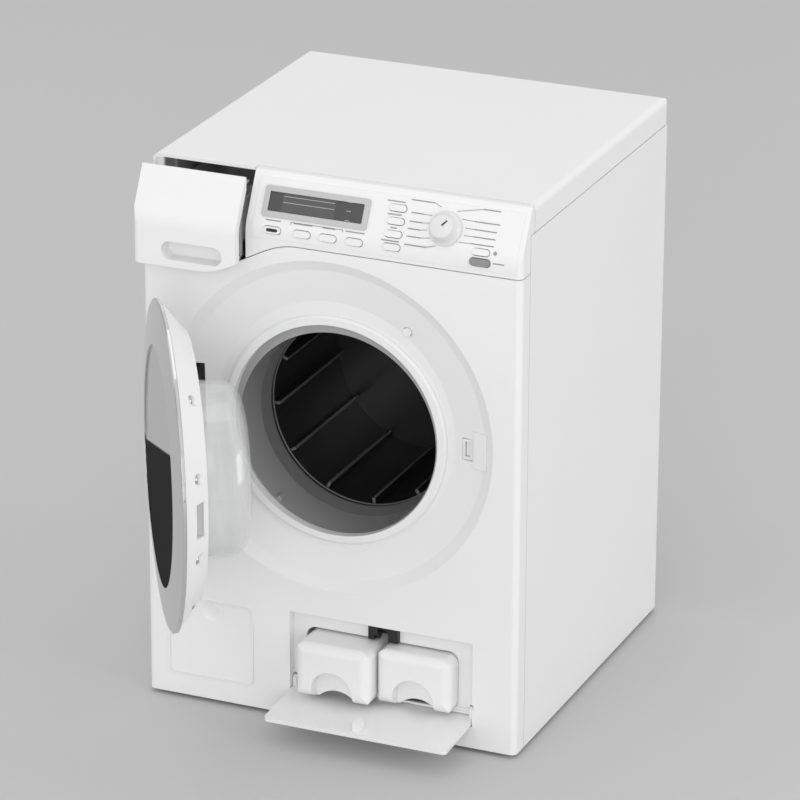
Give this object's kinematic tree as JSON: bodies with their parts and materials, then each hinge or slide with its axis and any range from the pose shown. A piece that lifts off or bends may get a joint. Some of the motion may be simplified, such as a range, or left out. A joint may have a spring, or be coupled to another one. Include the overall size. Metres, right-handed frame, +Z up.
{
  "type": "toy washing machine",
  "caption": "Toy front-loading washing machine with a hinged round door and clear bowl, belt-driven drum, soap drawer, control panel, and a tip-down flap over dispenser boxes.",
  "frame": {"origin": "on the floor under the middle of the body", "axes": "+X to the right seen from the front, +Y to the back, +Z up; the door side faces -Y"},
  "size_m": [0.183, 0.3134, 0.26],
  "materials": {
    "white_shell": "semi-gloss moulded",
    "door_white": "semi-gloss moulded",
    "key_white": "semi-gloss moulded",
    "fascia_film": "smooth printed film",
    "silver_trim": "satin silver",
    "display_dark": "glossy dark panel",
    "knob_silver": "satin silver",
    "key_grey": "satin",
    "chrome_rim": "bright plated",
    "window_dark": "dark tinted",
    "bowl_clear": "clear plastic",
    "collar_grey": "satin",
    "ring_grey": "satin",
    "drum_dark": "glossy",
    "catch_grey": "satin",
    "latch_black": "satin",
    "steel": "zinc plated",
    "base_grey": "fine grain",
    "foot_rubber": "matt",
    "inner_white": "plain moulded",
    "pulley_grey": "plain moulded",
    "belt_rubber": "matt",
    "bush_brass": "turned",
    "motor_steel": "zinc plated",
    "board_green": "solder mask",
    "cone_black": "paper cone in a plastic basket",
    "cable_red": "flat cable",
    "cell_sleeve": "plain sleeve, bare of text",
    "contact_nickel": "nickel plated"
  },
  "bodies": {
    "root": {"cabinet": "white_shell", "rear_cover": "base_grey", "rear_screws": "steel", "front_panel": "white_shell", "top_lid": "white_shell", "base_plate": "base_grey", "base_screws": "steel", "feet": "foot_rubber", "battery_cover": "base_grey", "batteries": "cell_sleeve", "battery_contacts": "contact_nickel", "control_panel": "white_shell", "fascia_sheet": "fascia_film", "display_frame": "silver_trim", "display_window": "display_dark", "rotary_switch": "latch_black", "circuit_board": "board_green", "speaker": "cone_black", "wiring": "cable_red", "drawer_runner": "inner_white", "hinge_pin": "steel", "door_catch": "catch_grey", "collar": "collar_grey", "drum_ring": "ring_grey", "shaft_bush": "bush_brass", "drive_belt": "belt_rubber", "motor": "motor_steel", "motor_bracket": "inner_white", "flap_pins": "steel", "flap_latch": "latch_black", "cartridge_housing": "inner_white"},
    "door": {"door_bezel": "chrome_rim", "door_window": "window_dark", "door_ring": "door_white", "door_bowl": "bowl_clear", "door_screws": "steel", "door_hinge_arm": "door_white"},
    "drawer": {"drawer_front": "white_shell", "drawer_box": "inner_white"},
    "knob": {"program_knob": "knob_silver"},
    "plunger": {"door_switch_pin": "key_white"},
    "drum": {"drum": "drum_dark", "drum_shaft": "steel", "drive_pulley": "pulley_grey"},
    "rotor": {"motor_pulley": "pulley_grey"},
    "flap": {"flap": "door_white"},
    "box_left": {"cartridge_left": "door_white"},
    "box_right": {"cartridge_right": "door_white"},
    "key_power": {"key_power": "key_white"},
    "key_option_1": {"key_option_1": "key_white"},
    "key_option_2": {"key_option_2": "key_white"},
    "key_option_3": {"key_option_3": "key_white"},
    "key_side_1": {"key_side_1": "key_white"},
    "key_side_2": {"key_side_2": "key_white"},
    "key_side_3": {"key_side_3": "key_white"},
    "key_side_4": {"key_side_4": "key_white"},
    "key_light": {"key_light": "key_white"},
    "key_start": {"key_start": "key_grey"}
  },
  "joints": [
    {"name": "door_swing", "type": "hinge", "parent": "root", "child": "door", "pos_m": [-0.0797, -0.08441, 0.146], "axis": [0, 0, -1], "range_deg": [-57.35, 27.65]},
    {"name": "drawer_slide", "type": "slide", "parent": "root", "child": "drawer", "axis": [0, -1, 0], "range_m": [-0.0095, 0.026]},
    {"name": "knob_turn", "type": "hinge", "parent": "root", "child": "knob", "pos_m": [0.0537, -0.08572, 0.24667], "axis": [0, -0.887, 0.4617], "continuous": true},
    {"name": "drum_spin", "type": "hinge", "parent": "root", "child": "drum", "pos_m": [0, 0, 0.1405], "axis": [0, 1, 0], "continuous": true},
    {"name": "rotor_spin", "type": "hinge", "parent": "root", "child": "rotor", "pos_m": [0, 0, 0.07], "axis": [0, 1, 0], "continuous": true},
    {"name": "flap_tip", "type": "hinge", "parent": "root", "child": "flap", "pos_m": [0.0252, -0.08615, 0.0181], "axis": [-1, 0, 0], "range_deg": [0, 93.5]},
    {"name": "box_left_slide", "type": "slide", "parent": "root", "child": "box_left", "axis": [0, 1, 0], "range_m": [0, 0.0245]},
    {"name": "box_right_slide", "type": "slide", "parent": "root", "child": "box_right", "axis": [0, 1, 0], "range_m": [0, 0.0175]},
    {"name": "plunger_press", "type": "slide", "parent": "root", "child": "plunger", "axis": [0, 1, 0], "range_m": [0, 0.001], "stiffness_N_per_m": 200, "springref_m": -0.0005},
    {"name": "key_power_press", "type": "slide", "parent": "root", "child": "key_power", "axis": [0, 0.9809, -0.1947], "range_m": [0, 0.0008], "stiffness_N_per_m": 200, "springref_m": -0.0005},
    {"name": "key_option_1_press", "type": "slide", "parent": "root", "child": "key_option_1", "axis": [0, 0.9809, -0.1947], "range_m": [0, 0.0008], "stiffness_N_per_m": 200, "springref_m": -0.0005},
    {"name": "key_option_2_press", "type": "slide", "parent": "root", "child": "key_option_2", "axis": [0, 0.9809, -0.1947], "range_m": [0, 0.0008], "stiffness_N_per_m": 200, "springref_m": -0.0005},
    {"name": "key_option_3_press", "type": "slide", "parent": "root", "child": "key_option_3", "axis": [0, 0.9809, -0.1947], "range_m": [0, 0.0008], "stiffness_N_per_m": 200, "springref_m": -0.0005},
    {"name": "key_side_1_press", "type": "slide", "parent": "root", "child": "key_side_1", "axis": [0, 0.887, -0.4617], "range_m": [0, 0.0008], "stiffness_N_per_m": 200, "springref_m": -0.0005},
    {"name": "key_side_2_press", "type": "slide", "parent": "root", "child": "key_side_2", "axis": [0, 0.887, -0.4617], "range_m": [0, 0.0008], "stiffness_N_per_m": 200, "springref_m": -0.0005},
    {"name": "key_side_3_press", "type": "slide", "parent": "root", "child": "key_side_3", "axis": [0, 0.887, -0.4617], "range_m": [0, 0.0008], "stiffness_N_per_m": 200, "springref_m": -0.0005},
    {"name": "key_side_4_press", "type": "slide", "parent": "root", "child": "key_side_4", "axis": [0, 0.977, -0.2134], "range_m": [0, 0.0008], "stiffness_N_per_m": 200, "springref_m": -0.0005},
    {"name": "key_light_press", "type": "slide", "parent": "root", "child": "key_light", "axis": [0, 0.9105, -0.4134], "range_m": [0, 0.0008], "stiffness_N_per_m": 200, "springref_m": -0.0005},
    {"name": "key_start_press", "type": "slide", "parent": "root", "child": "key_start", "axis": [0, 0.9885, -0.1509], "range_m": [0, 0.0008], "stiffness_N_per_m": 200, "springref_m": -0.0005}
  ],
  "couplings": [
    {"joint": "rotor_spin", "follows": "drum_spin", "ratio": 6},
    {"joint": "box_left_slide", "follows": "flap_tip", "m_per_rad": 0.015007},
    {"joint": "box_right_slide", "follows": "flap_tip", "m_per_rad": 0.010718}
  ]
}
